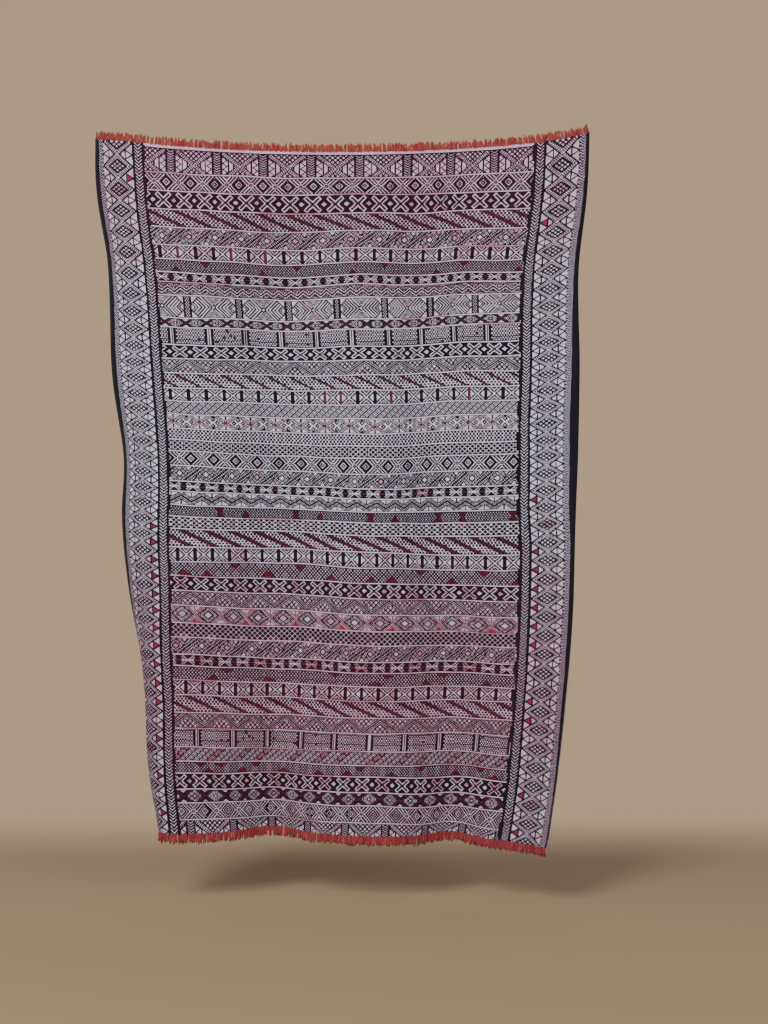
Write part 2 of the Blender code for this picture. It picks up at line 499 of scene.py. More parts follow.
def white_gems(x, y, a, b, pitch, rows):
    """Ringed lozenges with a pale heart, on wine crossings, with small red or pale wedges at the edges."""
    number = np.floor(x / pitch + 0.5)
    ring = a / (pitch / 2 - 1.6) + b / (rows / 2 + 1.0)
    far = pitch / 2 - a
    low_red = (np.floor(x / pitch) % 2 == 0) & (y > rows / 2)
    wedge = far < (b - rows / 2 + 3.8) * 1.2
    return pick(
        ((ring < 0.20) & (number % 2 == 0), pinkish(x, y)),
        (ring < 0.34, PALE),
        (ring < 0.46, GROUND),
        (ring < 0.86, comb(a - b, 1.8)),
        (ring < 0.98, GROUND),
        (wedge & (far < 0.4), WINE),
        (wedge, np.where(low_red, RED, PALE)),
        otherwise=np.where((x - y) % 2.2 < 0.7, PALE, WINE),
    )


# The bands of the field, from the top: the motif, the row its band ends on, the stitches at which some of
# its repeats have their centres, by measure, each with its repeat's number, and what is special about it.
# AS_WOVEN is for motifs that count every stitch from the cloth's left edge.
AS_WOVEN = [(0, 0), (1, 10)]
BANDS = [
    (panels, 23, [(0, 73.6), (2, 154.3), (4, 238.6), (5, 280.7), (7, 356.4)], {}),
    (snow, 38, [(0, 58.6), (5, 164.3), (9, 255), (11, 298.6), (13, 336.4), (15, 380.7)], {}),
    (crosses, 54, [(0, 66), (3, 120), (5, 157.1), (9, 237.6), (12, 294.3), (14, 327.1), (17, 382.9)],
     {"reds": [13], "gems": [0, 4, 9, 11, 14, 15]}),
    (dots, 70, [(0, 74), (1, 99)], {"slope": 2.3, "wide": 8}),
    (bars_and_gems, 85.5, [(0, 62.1), (4, 155), (8, 257), (13, 372.1)], {"reds": [1, 5, 7, 11]}),
    (boxes, 98.5, [(0, 58.5), (6, 153.1), (12, 252.4), (16, 312.9), (20, 375)],
     {"reds": [1, 4, 6], "warm": [2, 5, 17]}),
    (netting, 110, AS_WOVEN, {"up": [70.7, 148.6, 232.9, 311, 387], "down": [97.9, 180.7, 262, 337]}),
    (stars, 118.5, [(0, 66), (3, 116.4), (9, 222.6), (13, 292.1), (18, 373.6)], {}),
    (zigzag, 130.5, [(0, 62), (1, 73.2)], {}),
    (chevrons, 150, [(0, 77.9), (3, 217.1), (7, 392)], {}),
    (chain, 159, [(0, 66), (5, 158.6), (10, 252.9), (13, 306.4), (17, 380.7)], {}),
    (dotted_panels, 174.5, [(0, 62.1), (3, 161.7), (6, 262.9), (9, 358.6)], {}),
    (crosses, 187, [(0, 67.9), (17, 383)], {}),
    (lattice, 200, [(1, 107), (4, 206.4), (9, 371.5)], {}),
    (dots, 213.5, [(0, 61.4), (5, 167.1), (9, 251.4), (15, 377)], {"slope": 2.0, "wide": 4.8}),
    (boxes, 226, [(0, 56.8), (6, 153.6), (12, 248.2), (16, 309), (20, 371.9)], {"reds": [9, 10, 13, 18]}),
    (hatching, 238, [(0, 60), (1, 67.4)], {}),
    (four_gems, 251.5, [(0, 69.3), (8, 259.5), (10, 304.3), (13, 374.3)], {}),
    (dots, 262, [(0, 60), (1, 63.4)], {"slope": 0, "wide": 0}),
    (gem_net, 272.5, [(0, 60), (1, 91)], {}),
    (snow, 286, [(0, 61.1), (5, 164.6), (9, 249.3), (13, 327.9), (15, 372.1)], {}),
    (bars_and_gems, 299.5, [(0, 61), (4, 156.9), (8, 252.5), (11, 318.6), (13, 367.9)],
     {"reds": [3, 8, 9]}),
    (stars, 308.5, [(0, 64.6), (5, 150.7), (11, 254.3), (15, 318.6), (18, 371.4)], {"reds": [13]}),
    (ticked_zigzag, 320.5, [(0, 62.5), (5, 155.7), (10, 249.3), (14, 318.6), (17, 375)], {}),
    (netting, 330.5, AS_WOVEN,
     {"up": [98.6, 123, 171.4, 195, 244.3, 267, 311.4, 335, 384],
      "down": [98.6, 171.4, 244.3, 311.4, 335, 384], "tall": 8}),
    (gem_net, 341.5, AS_WOVEN, {"down": [79, 260, 330]}),
    (dots, 357, [(0, 61), (1, 84.6)], {"slope": 2.4, "wide": 9}),
    (boxes, 370.5, [(0, 58.6), (12, 249.7), (16, 310), (18, 339.6), (20, 376.4)], {"warm": [3]}),
    (netting, 384, AS_WOVEN,
     {"wide": 3.2, "high": 3.2, "up": [63.6, 85, 144.3, 205.7, 244, 263, 324, 388],
      "down": [112, 174.3, 294, 356], "half_wide": 7, "tall": 6}),
    (crosses, 397.5, [(0, 60.2), (6, 172.9), (11, 265.7), (14, 321.4), (17, 382.9)],
     {"reds": [0, 3, 6, 9, 12, 15], "gems": [1, 4, 7, 10, 13, 16]}),
    (lattice, 411.5, [(0, 68.6), (3, 165.7), (6, 260.7), (9, 359.3)], {}),
    (white_gems, 426.5, [(0, 61), (4, 157.5), (8, 252.9), (11, 325), (13, 378.3)], {}),
    (gem_net, 439.5, AS_WOVEN,
     {"wide": 5.2, "high": 4.6, "dark": 0.76, "up": [60, 88, 118, 148, 186, 214, 247, 282, 345, 386]}),
    (bars_and_gems, 454.5, [(0, 54.5), (4, 151.4), (8, 244.3), (13, 366.4)],
     {"reds": [0, 2, 4, 7, 8, 10, 12]}),
    (stars, 464.5, [(0, 57.2), (5, 144.3), (8, 194.6), (12, 261), (15, 316), (18, 373)],
     {"reds": [1, 4, 7, 10, 13, 16]}),
    (netting, 477, AS_WOVEN,
     {"wide": 3.1, "high": 3.4, "up": [90, 144, 250, 301, 363], "down": [103, 211, 262, 319],
      "half_wide": 8, "tall": 5}),
    (boxes, 490, [(0, 63.6), (12, 253), (15, 303.9), (19, 372.9)], {"warm": [0, 4, 6, 8, 12, 17]}),
    (dots, 505.5, [(0, 64), (1, 90)], {"slope": 2.3, "wide": 8}),
    (lattice, 519.5, [(0, 97), (5, 256.4), (8, 358.6)], {"fill": RED}),
    (dotted_panels, 536, [(0, 73.6), (5, 247), (6, 280.7), (8, 357.1)], {}),
    (hatching, 548.5, [(0, 60), (1, 66.8)], {"reds": [0, 5, 9]}),
    (netting, 559, AS_WOVEN,
     {"wide": 2.9, "high": 3.0, "up": [84, 118, 160, 198, 228, 270, 338, 380],
      "down": [76, 96, 132, 240, 300, 364], "half_wide": 7, "tall": 5}),
    (crosses, 573, [(0, 55.5), (5, 150), (10, 242.1), (14, 320), (17, 381.4)],
     {"reds": [2, 5, 8, 11, 14, 17], "gems": [0, 3, 6, 12, 15]}),
    (chain, 585, [(0, 68.6), (9, 249.7), (11, 290), (15, 380.7)], {"reds": [0, 2, 5, 8, 11]}),
    (snow, 600, [(1, 88.6), (5, 180), (8, 242.9), (11, 310), (14, 380.7)], {}),
    (panels, 613, [(0, 62.1), (3, 188.6), (5, 266.4), (7, 351.4)], {}),
]

# Rows above the first band, how many of them are the pale end line, the rows of the pale line under each
# band, and how much dark ground shows between a band and the lines above and below it
END_ROWS = 3
END_LINE_ROWS = 2.4
LINE_ROWS = 1.3
SHADOW_ROWS = 0.5

# Red dye has run along some of the pale lines: the row a line lies on, and from which stitch to which
DYED_LINES = [
    (23, 51, 88), (38, 215, 300), (54, 150, 200), (85.5, 330, 392),
    (118.5, 51, 120), (150, 277, 323), (159, 350, 392), (330.5, 120, 180),
    (384, 60, 96), (397.5, 240, 300), (426.5, 330, 392), (477, 51, 92),
    (490, 200, 262), (519.5, 60, 150), (536, 120, 240), (548.5, 300, 380),
    (559, 130, 215), (600, 150, 200),
]

# The field's edges wander a little: the stitch each lies at, down the rows
EDGE_ROWS = [0, 60, 100, 130, 185, 250, 320, 350, 450, 500, 560, 612]
LEFT_EDGE = [50.2, 52.0, 53.0, 52.8, 51.5, 51.6, 51.8, 51.0, 50.5, 52.3, 51.6, 51.6]
RIGHT_EDGE = [392.0, 391.2, 390.8, 390.4, 388.2, 386.6, 388.4, 391.0, 391.0, 391.4, 393.0, 393.4]

# A handwoven row isn't quite straight: how many rows too low it lies at some stitches, down the rows
WANDER_STITCHES = [54, 154, 254, 320, 387]
WANDER = [
    (0, [0, 0, 0, 0, 0]),
    (55, [1, 0, -0.8, -0.8, 1]),
    (85, [1.5, 0, -1.4, -1.2, 2.6]),
    (120, [2.1, 0, -2.2, -3, 1]),
    (150, [2.4, -0.6, -2, -5, -2.6]),
    (200, [2.7, -1.2, -1.6, -4.6, -1.2]),
    (250, [0.5, -0.9, 0.3, -3.1, -1.2]),
    (285, [-1.3, -0.6, 2, -1, 0]),
    (320, [-0.6, -1, 1.6, 0.8, 0.8]),
    (357, [0, -1.3, 1.3, 3.7, 4.2]),
    (411, [-2.7, 0, 2.7, 3.5, 5]),
    (455, [-3, 1, 1.9, 1.7, 2]),
    (490, [-2.4, 1.2, 1.3, 1.2, 0.2]),
    (537, [-2.2, 2.2, 0, 1, 1]),
    (575, [-1.3, 1.8, -0.4, 2.6, 1.3]),
    (600, [-1.5, 1.9, -0.4, 2.5, 2.9]),
    (612, [0, 0, 0, 0, 0]),
]


def wander(stitch, row):
    """How many rows too low the cloth lies at each place, eased from one measured place to the next."""
    places = np.interp(stitch, WANDER_STITCHES, np.arange(len(WANDER_STITCHES)))
    times = np.interp(row, [entry[0] for entry in WANDER], np.arange(len(WANDER)))
    table = np.array([entry[1] for entry in WANDER])
    left = np.minimum(places.astype(int), len(WANDER_STITCHES) - 2)
    above = np.minimum(times.astype(int), len(WANDER) - 2)
    s, t = places - left, times - above
    s, t = s * s * (3 - 2 * s), t * t * (3 - 2 * t)
    upper = table[above, left] * (1 - s) + table[above, left + 1] * s
    lower = table[above + 1, left] * (1 - s) + table[above + 1, left + 1] * s
    return upper * (1 - t) + lower * t


def repeats(stitch, knots):
    """Every stitch as a place in a row of even repeats, and their pitch, from measured knots."""
    numbers = np.array([knot[0] for knot in knots])
    places = np.array([knot[1] for knot in knots])
    pitch = (places[-1] - places[0]) / (numbers[-1] - numbers[0])
    beyond = np.minimum(stitch - places[0], 0) + np.maximum(stitch - places[-1], 0)
    even = (np.interp(stitch, places, numbers) - numbers[0]) * pitch
    return even + beyond + numbers[0] * pitch, pitch


# A float comes up from under the ground yarn, which hides half a stitch of the float's left side, and in
# the bands of bricks half a row of its top too. The dark ground laid there also stands for the shade where
# the float dips under, which is painted.
HIDDEN_AND_SHADED_TOPS = (dots,)


def field_chart(stitch, row):
    """The field: a pale end line, then the bands, each with a pale line of weft under it."""
    made = np.full(stitch.shape, GROUND)
    made[row < END_LINE_ROWS] = PALE
    top = END_ROWS
    for motif, end, knots, special in BANDS:
        inside = (row[:, 0] >= top) & (row[:, 0] < end + LINE_ROWS / 2)
        x, pitch = repeats(stitch[inside], knots)
        rows = end - LINE_ROWS / 2 - top
        y = row[inside] - top
        woven = motif(x, y, from_centre(x, pitch), abs(y - rows / 2), pitch, rows, **special)
        # the ground yarn hides half a stitch at a float's left end, and the dark laid there is partly
        # painted shade
        woven[:, 1:] = np.where(woven[:, :-1] == GROUND, GROUND, woven[:, 1:])
        if motif in HIDDEN_AND_SHADED_TOPS:
            woven[1:] = np.where(woven[:-1] == GROUND, GROUND, woven[1:])
        dyed = np.zeros(x.shape, bool)
        for line, start, stop in DYED_LINES:
            dyed |= (end == line) & (stitch[inside] > start) & (stitch[inside] < stop)
        made[inside] = pick(
            ((y < SHADOW_ROWS) | ((y > rows - SHADOW_ROWS) & (y < rows)), GROUND),
            (y < rows, woven),
            (dyed, pinkish(x, y)),
            otherwise=PALE,
        )
        top = end + LINE_ROWS / 2
    return made


# A side border, from the field outwards: where each of its stripes ends, in stitches
INNER_NAVY, HERRINGBONE, NAVY, LOZENGES, DOTTED, CHEVRONS = 2.0, 8.2, 10.0, 39.6, 40.4, 45.2

# The rows at which some of its lozenges have their middles, by measure, each after the lozenge's number;
# they are even between. Some have a pinkish net, and some a red wedge below them on the field's side.
LEFT_BORDER = {
    "knots": [(0, 1.5), (4, 77.9), (7, 133.7), (10, 181), (17, 278.9), (22, 346.7), (28, 436.9), (40, 634)],
    "nets": [2, 34],
    "wedged": [1, 21, 22, 23, 24, 25, 26, 27, 28, 29, 30, 31, 33, 35, 37],
}
RIGHT_BORDER = {
    "knots": [(0, 1.5), (4, 78.9), (7, 129), (10, 175.7), (17, 276), (22, 351), (28, 448.1), (40, 644)],
    "nets": [2, 21, 36],
    "wedged": [3, 19, 22, 23, 24, 25, 26, 27, 30, 31, 35, 37],
}


def chevron_stripe(out, row, inner, outer, lean, period, pale_rows):
    """Pale chevrons one above the other along a narrow stripe, with their points on its middle."""
    return pale((row + lean * abs(out - (inner + outer) / 2)) % period < pale_rows)


def border_chart(out, placed, row, knots, nets, wedged):
    """One side border. out is each place's distance outwards from the field's edge, and placed is its
    row with the cloth's wander, which the lozenges follow."""
    half_wide = (LOZENGES - NAVY) / 2
    a = abs(out - NAVY - half_wide)
    knots = np.array(knots)
    number = np.interp(placed, knots[:, 1], knots[:, 0])
    middles = (knots[1:, 1] + knots[:-1, 1]) / 2
    half_high = np.interp(placed, middles, np.diff(knots[:, 1]) / np.diff(knots[:, 0])) / 2
    whole = np.round(number)
    b = abs(number - whole) * 2 * half_high
    beyond = half_high - b
    edge = half_wide - a
    high = b * 8 / half_high
    heart = a / 9.8 + high / 5.4
    ring = a / (half_wide + 0.1) + high / 9.8
    net = np.where(diamonds(a, b, 5.0, 3.4) < 0.54, dyed_in(whole, nets, out, row), GROUND)
    tick = abs(edge - 6.6) < 0.65
    teeth = (edge < 6.6) & (abs(beyond - edge * 0.52) < 0.65)
    wedge = (out > NAVY + 1.2) & (out < NAVY + 6.0) & (beyond < edge * 0.42)
    dyed = wedge & np.isin(np.floor(number), wedged)
    column = pick(
        (heart < 0.85, net),
        (heart < 1.0, GROUND),
        (ring < 0.92, pale((a - high * 1.5) % 2.8 < 1.3)),
        (ring < 1.07, GROUND),
        (edge < 0.4, GROUND),
        (tick | teeth, GROUND),
        (dyed, np.where((np.floor(out) + np.floor(row)) % 2 == 0, RED, WINE)),
        otherwise=PALE,
    )
    return pick(
        (out < INNER_NAVY, GROUND),
        (out < HERRINGBONE, chevron_stripe(out, row, INNER_NAVY, HERRINGBONE, 0.9, 2.7, 0.8)),
        (out < NAVY, GROUND),
        (out < LOZENGES, column),
        (out < DOTTED, pale(row % 3.2 < 1.1)),
        (out < CHEVRONS, chevron_stripe(out, row, DOTTED, CHEVRONS, 0.8, 2.1, 0.7)),
        otherwise=GROUND,
    )


def whole_chart():
    """The cloth's chart, with two cells to a stitch and two to a row."""
    shape = (CHART_ROWS * CELLS, CHART_STITCHES * CELLS)
    stitch = np.broadcast_to((np.arange(shape[1]) + 0.5) / CELLS, shape)
    row = np.broadcast_to(((np.arange(shape[0]) + 0.5) / CELLS)[:, None], shape)
    left = np.interp(row, EDGE_ROWS, LEFT_EDGE)
    right = np.interp(row, EDGE_ROWS, RIGHT_EDGE)
    placed = row + wander(stitch, row)

    # dark ends of the ground's weft show past the floats at the field's edges, by a little or a lot
    ragged = 0.3 + 1.5 * (np.sin(np.floor(row / 1.5) * 12.9) > 0.1)
    return pick(
        (stitch < left, border_chart(left - stitch, placed, row, **LEFT_BORDER)),
        (stitch > right, border_chart(stitch - right, placed, row, **RIGHT_BORDER)),
        ((stitch < left + 0.6 * ragged) | (stitch > right - ragged), GROUND),
        otherwise=field_chart(stitch, row),
    )


def linear(colour):
    """An sRGB hex colour as linear red, green, blue and alpha."""
    parts = [int(colour[i : i + 2], 16) / 255 for i in (1, 3, 5)]
    return tuple(p / 12.92 if p < 0.04045 else ((p + 0.055) / 1.055) ** 2.4 for p in parts) + (1.0,)


def new_material(name, surface):
    """A material with these constant values on its shader's own sockets, its node tree and its shader."""
    made = bpy.data.materials.new(name)
    made.use_nodes = True
    shader = made.node_tree.nodes["Principled BSDF"]
    for socket, value in surface.items():
        shader.inputs[socket].default_value = value
    return made, made.node_tree, shader


def add(tree, kind, feeds=(), operation=None, **settings):
    """Add a node with its settings. feeds gives its inputs, in order, by name or by number, a value, a
    link, or a node whose first output they take. A Mix node's colours are inputs 6 and 7 and output 2."""
    node = tree.nodes.new("ShaderNode" + kind)
    if operation:
        node.operation = operation
    for name, value in settings.items():
        setattr(node, name, value)
    for name, value in feeds.items() if isinstance(feeds, dict) else enumerate(feeds):
        if isinstance(value, bpy.types.Node):
            value = value.outputs[0]
        if isinstance(value, bpy.types.NodeSocket):
            tree.links.new(value, node.inputs[name])
        else:
            node.inputs[name].default_value = value
    return node


def set_stops(ramp, stops):
    """Give a new colour ramp these stops and no others, each a place and a linear colour."""
    elements = ramp.color_ramp.elements
    for number, (at, colour) in enumerate(stops):
        stop = elements[0] if number == 0 else elements.new(at)
        stop.color = colour
    elements.remove(elements[-1])


# Yarn colours in the order of the chart's codes, clean and where the red dye has run into them. Near the
# hem the run colours also stand for warm light bounced up from the floor, which is painted. The side
# borders' ground is a bluer, blacker yarn than the field's.
CLEAN_YARNS = ["#1d1520", "#ddd7e9", "#632840", "#a22d46"]
BLED_AND_BOUNCE_WARMED_YARNS = ["#36182a", "#d09db4", "#782947", "#b2314e"]
BORDER_NAVY = "#1d1926"

# In metres: a cell of the chart, a streak of run dye, the length of yarn over which its own dye changes,
# and a float's height. The yarn's two plies twist round each other every 3.1 mm.
CELL = 0.0014
STREAK_LONG, STREAK_WIDE = 0.045, 0.014
DYE_CHANGE = 0.030
FLOAT_HEIGHT = 0.0004
TWISTS_A_CELL = 0.45
# painted shade: the share by which a pass of weft's colour is darkened towards the groove beside it
PAINTED_GROOVE_DARKENING = 0.30  # how much darker the groove beside a pass of weft is than the pass itself
PLY_RELIEF = 0.18  # how far the plies stand out, as a share of the float's height

# How far the red dye has run at places down the cloth, from 0 at the top edge to 1 at the hem. At 0.82
# and 0.92 it is raised further, as painted warm light bounced up from the floor. Patches are added to it,
# and the dye shows from BLEED_STARTS on and is full at BLEED_FULL.
DYE_RUN_AND_WARM_BOUNCE = [
    (0.0, 0.52), (0.10, 0.48), (0.20, 0.40), (0.30, 0.33), (0.45, 0.27),
    (0.55, 0.36), (0.66, 0.48), (0.82, 0.54), (0.92, 0.46),
]
PATCHINESS = 0.6
BLEED_STARTS, BLEED_FULL = 0.6, 0.95


def flat_weave(name, yarns, bled_yarns):
    """Wool flat weave, matt and a little fuzzy: every pass of weft is a rounded float that catches soft
    light, and painted shade darkens its colour towards the groove beside the next; the yarn's own dye is
    uneven along it."""
    surface = {"Roughness": 0.88, "Specular IOR Level": 0.12, "Sheen Weight": 0.04, "Sheen Roughness": 0.5}
    made, tree, shader = new_material(name, surface)
    place = add(tree, "UVMap", uv_map="weave")
    parted = add(tree, "SeparateXYZ", [place])
    cell, line = parted.outputs[0], parted.outputs[1]

    # the chart's code for this cell, out of its face's packed lines of cells
    packed = add(tree, "Attribute", attribute_name="stitches")
    which_cell, which_line = [
        add(tree, "Math", [add(tree, "Math", [place_in], "FLOOR"), count], "MODULO")
        for place_in, count in ((cell, CELLS_A_FACE), (line, LINES_A_FACE))
    ]
    is_line = [add(tree, "Math", [which_line, i, 0.5], "COMPARE") for i in range(LINES_A_FACE)]
    selector = add(tree, "CombineXYZ", is_line)
    value = add(tree, "VectorMath", [packed.outputs["Vector"], selector], "DOT_PRODUCT")
    divisor = add(tree, "Math", [CODES, which_cell], "POWER")
    safe = add(tree, "Math", [value.outputs["Value"], 0.5], "ADD")
    share = add(tree, "Math", [safe, divisor], "DIVIDE")
    whole = add(tree, "Math", [share], "FLOOR")
    code = add(tree, "Math", [whole, CODES], "MODULO")
    code_place = add(tree, "Math", [code, 1 / CODES, 0.5 / CODES], "MULTIPLY_ADD")
    colours = []
    for dyes in (yarns, bled_yarns):
        ramp = add(tree, "ValToRGB", [code_place])
        ramp.color_ramp.interpolation = "CONSTANT"
        set_stops(ramp, [(number / CODES, linear(dye)) for number, dye in enumerate(dyes)])
        colours.append(ramp)

    # red dye that has run, in streaks along the weft, and near the hem painted warm light from the floor
    streak = (CELL / STREAK_LONG, CELL / STREAK_WIDE, 1.0)
    streaks = add(tree, "VectorMath", [place, streak], "MULTIPLY")
    patches = add(tree, "TexNoise", {"Vector": streaks, "Scale": 1.0, "Detail": 3.0, "Roughness": 0.6})
    down = add(tree, "Math", [line, CHART_ROWS * CELLS], "DIVIDE")
    reach = add(tree, "ValToRGB", [down])
    set_stops(reach, [(at, (amount, amount, amount, 1.0)) for at, amount in DYE_RUN_AND_WARM_BOUNCE])
    run = add(tree, "Math", [patches, PATCHINESS, reach], "MULTIPLY_ADD")
    shown = {"Value": run, "From Min": BLEED_STARTS, "From Max": BLEED_FULL}
    dye_run_and_bounce = add(tree, "MapRange", shown, interpolation_type="SMOOTHSTEP")
    yarn = add(tree, "Mix", {0: dye_run_and_bounce, 6: colours[0], 7: colours[1]}, data_type="RGBA")

    # the side borders' own ground
    from_middle = add(tree, "Math", [cell, CHART_STITCHES * CELLS / 2], "SUBTRACT")
    outwards = add(tree, "Math", [from_middle], "ABSOLUTE")
    field_half = FIELD_STITCHES * CELLS / 2
    in_border = add(tree, "Math", [outwards, field_half], "GREATER_THAN")
    is_ground = add(tree, "Math", [code, 0.5], "LESS_THAN")
    navy = add(tree, "Math", [in_border, is_ground], "MULTIPLY")
    yarn = add(tree, "Mix", {0: navy, 6: yarn.outputs[2], 7: linear(BORDER_NAVY)}, data_type="RGBA")

    # the dye takes unevenly along every pass, and painted shade darkens each pass towards the groove beside
    # it
    along = add(tree, "VectorMath", [place, (CELL / DYE_CHANGE, 1.0, 1.0)], "MULTIPLY")
    uneven = add(tree, "TexNoise", {"Vector": along, "Scale": 1.0, "Detail": 2.0})
    taken = {"Value": uneven, "From Min": 0.3, "From Max": 0.7, "To Min": 0.84, "To Max": 1.12}
    dye = add(tree, "MapRange", taken)
    in_line = add(tree, "Math", [line], "FRACT")
    from_ridge = add(tree, "Math", [in_line, 2.0, -1.0], "MULTIPLY_ADD")
    steep = add(tree, "Math", [from_ridge, 4.0], "POWER")
    painted_groove_shade = add(tree, "Math", [steep, -PAINTED_GROOVE_DARKENING, 1.0], "MULTIPLY_ADD")
    shade = add(tree, "Math", [dye, painted_groove_shade], "MULTIPLY")
    shaded = {0: 1.0, 6: yarn.outputs[2], 7: shade}
    tone = add(tree, "Mix", shaded, data_type="RGBA", blend_type="MULTIPLY")
    tree.links.new(tone.outputs[2], shader.inputs["Base Color"])

    # rounded floats, with two plies that twist round each other
    squared = add(tree, "Math", [from_ridge, 2.0], "POWER")
    pad = add(tree, "Math", [squared, -1.0, 1.0], "MULTIPLY_ADD")
    slant = add(tree, "Math", [cell, TWISTS_A_CELL, in_line], "MULTIPLY_ADD")
    turns = add(tree, "Math", [slant, 2 * math.pi], "MULTIPLY")
    plies = add(tree, "Math", [turns], "SINE")
    height = add(tree, "Math", [plies, PLY_RELIEF, pad], "MULTIPLY_ADD")
    bump = add(tree, "Bump", {"Strength": 0.5, "Distance": FLOAT_HEIGHT, "Height": height})
    tree.links.new(bump.outputs[0], shader.inputs["Normal"])
    return made


# Handwoven wool puckers a little off its plane, and its rows rise and fall a little. Both die away over
# these distances from the cloth's ends, and the second from its sides too.
PUCKER, ROW_LIFT = 0.0010, 0.0008
CALM_ENDS, CALM_SIDES = 0.05, 0.08


def cloth_points():
    """The cloth's grid of points, with a handwoven unevenness and its rows' wander."""
    steps = CHART_ROWS * CELLS // LINES_A_FACE
    points = np.stack([weft_row(stitch_places(i / steps), i / steps) for i in range(steps + 1)])
    across = np.stack([stitch_places(i / steps) for i in range(steps + 1)])
    along = np.broadcast_to((np.arange(steps + 1) / steps * LENGTH)[:, None], across.shape)
    inside = np.clip(np.minimum(along, LENGTH - along) / CALM_ENDS, 0, 1)
    beside = np.clip((TOP_WIDTH / 2 - abs(across)) / CALM_SIDES, 0, 1)
    pucker = unevenness(across, along, widest=0.22, narrowest=0.07, waves=14, seed=21)
    lift = unevenness(across, along * 2.2, widest=0.25, narrowest=0.10, waves=12, seed=22)
    stitch = np.broadcast_to(np.arange(across.shape[1]) * CELLS_A_FACE / CELLS, across.shape)
    row = np.broadcast_to(np.arange(steps + 1)[:, None] * LINES_A_FACE / CELLS, across.shape)
    points[:, :, 1] += PUCKER * pucker * inside
    points[:, :, 2] += ROW_LIFT * lift * inside * beside
    points[:, :, 2] -= wander(stitch, row) * LENGTH / CHART_ROWS
    return points


def cloth_mesh():
    """The cloth's mesh. Each face carries the chart's codes of its cells, a number in base four for each
    of its lines of cells, and the map "weave" counts cells across and lines down."""
    points = cloth_points()
    rows, columns = points.shape[:2]
    index = np.arange(rows * columns).reshape(rows, columns)
    corners = np.stack([index[:-1, :-1], index[1:, :-1], index[1:, 1:], index[:-1, 1:]], axis=-1)
    mesh = bpy.data.meshes.new("kilim_cloth")
    mesh.from_pydata(points.reshape(-1, 3).tolist(), [], corners.reshape(-1, 4).tolist())
    cell = np.broadcast_to(np.arange(columns) * CELLS_A_FACE, (rows, columns))
    line = np.broadcast_to((np.arange(rows) * LINES_A_FACE)[:, None], (rows, columns))
    places = np.stack([cell, line], axis=-1).reshape(-1, 2)[corners.reshape(-1)]
    weave = mesh.uv_layers.new(name="weave")
    weave.data.foreach_set("uv", places.astype(np.float32).ravel())
    cells = whole_chart().reshape(rows - 1, LINES_A_FACE, columns - 1, CELLS_A_FACE)
    packed = (cells * CODES ** np.arange(CELLS_A_FACE)).sum(axis=3).transpose(0, 2, 1)
    stitches = mesh.attributes.new("stitches", "FLOAT_VECTOR", "FACE")
    stitches.data.foreach_set("vector", packed.astype(np.float32).ravel())
    mesh.shade_smooth()
    return mesh


def add_object(name, data):
    """A new object of this data, linked to the scene."""
    made = bpy.data.objects.new(name, data)
    bpy.context.scene.collection.objects.link(made)
    return made


# Behind, the cloth shows the yarns that its face hides: pale for the ground, wine for a red float, and the
# ground for the other floats
BEHIND = [PALE, GROUND, GROUND, WINE]
cloth = add_object("kilim_cloth", cloth_mesh())
cloth.data.materials.append(flat_weave("wool flat weave", CLEAN_YARNS, BLED_AND_BOUNCE_WARMED_YARNS))
cloth.data.materials.append(
    flat_weave(
        "wool flat weave from behind",
        [CLEAN_YARNS[code] for code in BEHIND],
        [BLED_AND_BOUNCE_WARMED_YARNS[code] for code in BEHIND],
    )
)
thicken = cloth.modifiers.new("cloth thickness", "SOLIDIFY")
thicken.thickness = THICKNESS
thicken.offset = 0.0
thicken.material_offset = 1
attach(cloth, "root")
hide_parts("rug_cloth")


# The fringes are the warp ends, left long past the last weft at both ends and dyed warm red. They stand
# in tufts of a few two-ply wool yarns, upright and tousled at the top edge, and hang below the hem.
TUFTS = 330
YARNS_A_TUFT = 5
YARN_RADIUS = 0.0012
YARN_SIDES = 5
YARN_RINGS = 5
FROM_SELVEDGE = 0.003
SPACING_UNEVEN = 0.0012
ROOT_IN_CLOTH = 0.002
TUFT_WIDE, TUFT_DEEP = 0.0019, 0.0012
CURL = 0.0006
TIP_TAPER = 0.30
PLY_TURN = 0.004
ORANGE_REDS = ("#8a2f2d", "#c4554f")
CORAL_REDS = ("#86292e", "#c5464a")


def spun_wool(name, dark, light):
    """Two-ply wool yarn, dyed by hand: matt, hairy, and lighter towards the tips."""
    made, tree, shader = new_material(
        name, {"Roughness": 0.9, "Specular IOR Level": 0.2, "Sheen Weight": 0.2}
    )
    shade = add(tree, "Attribute", attribute_name="shade").outputs["Fac"]
    dye = add(tree, "Mix", {0: shade, 6: linear(dark), 7: linear(light)}, data_type="RGBA")
    tree.links.new(dye.outputs[2], shader.inputs["Base Color"])
    parted = add(tree, "SeparateXYZ", [add(tree, "UVMap", uv_map="yarn")])
    slant = add(tree, "Math", [parted.outputs[0], parted.outputs[1]], "ADD")
    turns = add(tree, "Math", [slant, 4 * math.pi], "MULTIPLY")
    plies = add(tree, "Math", [turns], "SINE")
    bump = add(tree, "Bump", {"Strength": 0.8, "Distance": 0.0004, "Height": plies})
    tree.links.new(bump.outputs[0], shader.inputs["Normal"])
    return made


